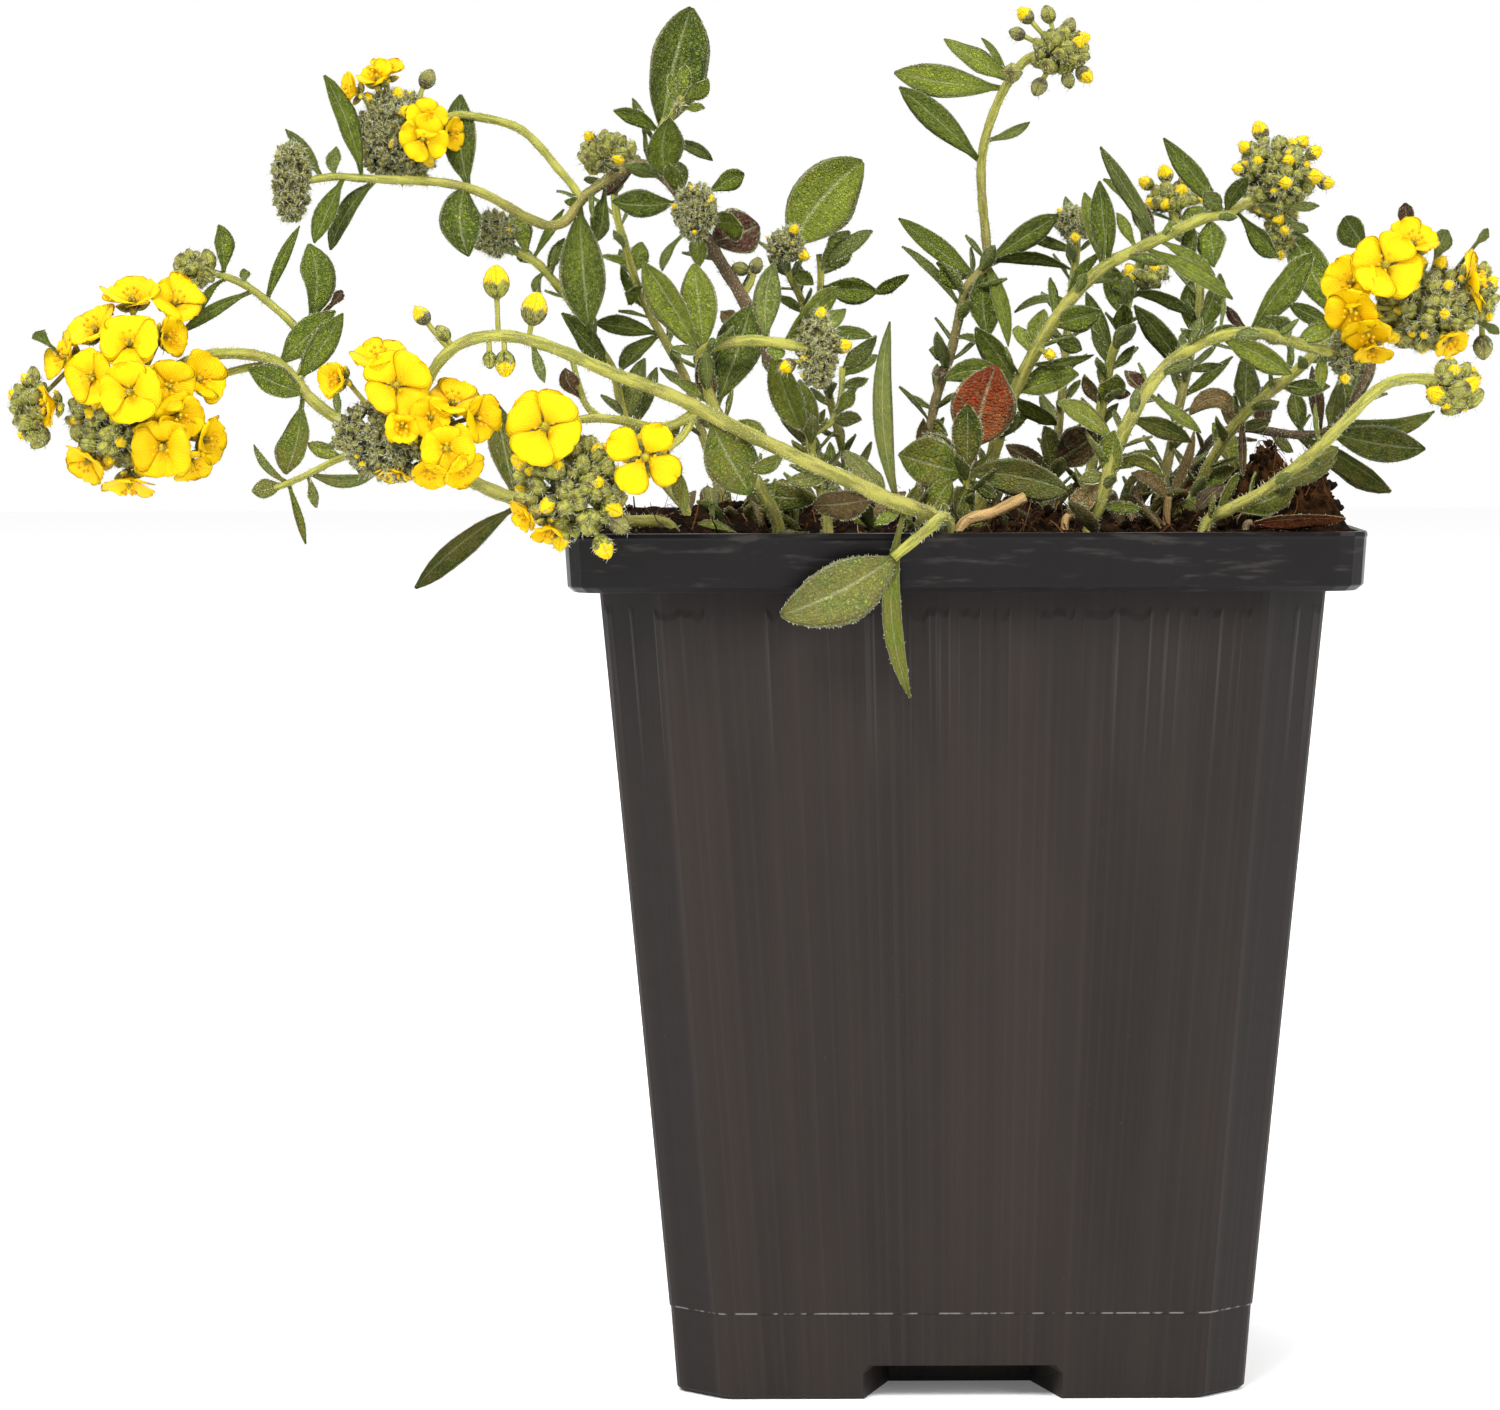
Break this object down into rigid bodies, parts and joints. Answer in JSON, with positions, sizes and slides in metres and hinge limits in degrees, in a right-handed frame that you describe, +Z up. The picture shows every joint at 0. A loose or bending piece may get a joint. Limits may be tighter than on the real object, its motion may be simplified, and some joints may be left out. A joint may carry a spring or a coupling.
{
  "type": "potted mountain alyssum",
  "caption": "Sprawling mountain alyssum with yellow flower heads on hairy leafy stems, growing in peat in a tapered square nursery pot.",
  "frame": {"origin": "centre of the pot's base, on the surface it stands on", "axes": "+Z up, -Y towards the front face that the picture shows, +X to the right of that view"},
  "size_m": [0.172, 0.1005, 0.1623],
  "materials": {
    "pot": "satin black, fine upright streaks",
    "soil": "rough, fibrous peat",
    "leafy": "dull, finely hairy",
    "old_branch": "dull bark",
    "red_leaf": "dull",
    "dark_red_leaf": "dull",
    "dry": "dry and dull",
    "flowers": "soft petals",
    "bud_head": "soft petals and hairy buds",
    "grey_head": "hairy buds",
    "spent_head": "dry petals"
  },
  "bodies": {
    "root": {"pot": "pot", "soil": "soil", "shoot_a": "leafy", "shoot_b": "leafy", "shoot_d": "leafy", "shoot_e": "leafy", "shoot_g": "leafy", "shoot_h": "leafy", "shoot_i": "leafy", "shoot_j": "leafy", "shoot_k": "leafy", "shoot_l": "leafy", "shoot_m": "leafy", "shoot_n": "leafy", "shoot_o": "leafy", "shoot_p": "leafy", "shoot_q": "leafy", "shoot_r": "leafy", "shoot_s": "leafy", "shoot_u": "leafy", "shoot_t": "old_branch", "leaf_red": "red_leaf", "leaf_red_low": "dark_red_leaf", "twig": "dry", "dead_leaf_front": "dry", "dead_leaf_mid": "dry", "head_a": "flowers", "head_b": "flowers", "head_c2": "flowers", "head_c": "bud_head", "head_e": "bud_head", "head_d": "grey_head", "head_n": "spent_head"}
  },
  "joints": []
}
